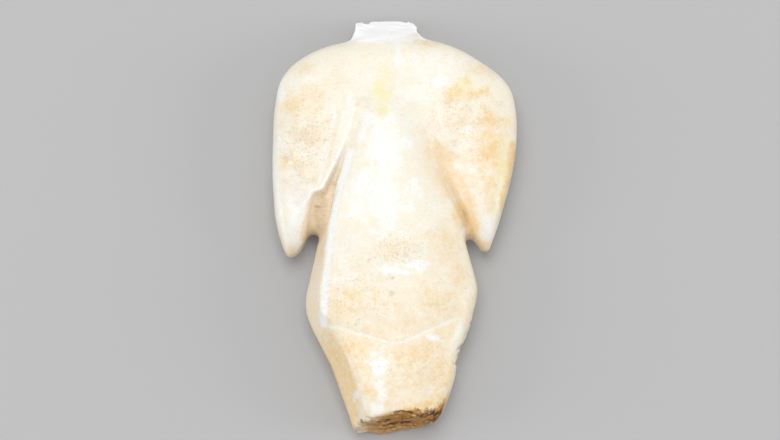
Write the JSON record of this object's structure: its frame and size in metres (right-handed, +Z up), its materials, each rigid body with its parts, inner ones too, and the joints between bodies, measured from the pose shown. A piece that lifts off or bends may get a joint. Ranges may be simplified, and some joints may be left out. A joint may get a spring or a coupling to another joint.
{
  "type": "goddess figurine",
  "caption": "Flat marble torso of an ancient goddess figurine, with wing-like arms ending in pointed elbows, broken at the neck and across the legs.",
  "frame": {"origin": "middle of the bounding box, on the flat ground back that the torso lies on", "axes": "+Y towards the lost head, +Z up out of the front, +X towards the viewer's right"},
  "size_m": [0.0574, 0.1002, 0.0158],
  "materials": {
    "marble": "ivory marble with a worn soft polish, warm tan patina, a pale broken neck and a brown-stained leg break"
  },
  "bodies": {
    "root": {"marble_torso": "marble"}
  },
  "joints": []
}
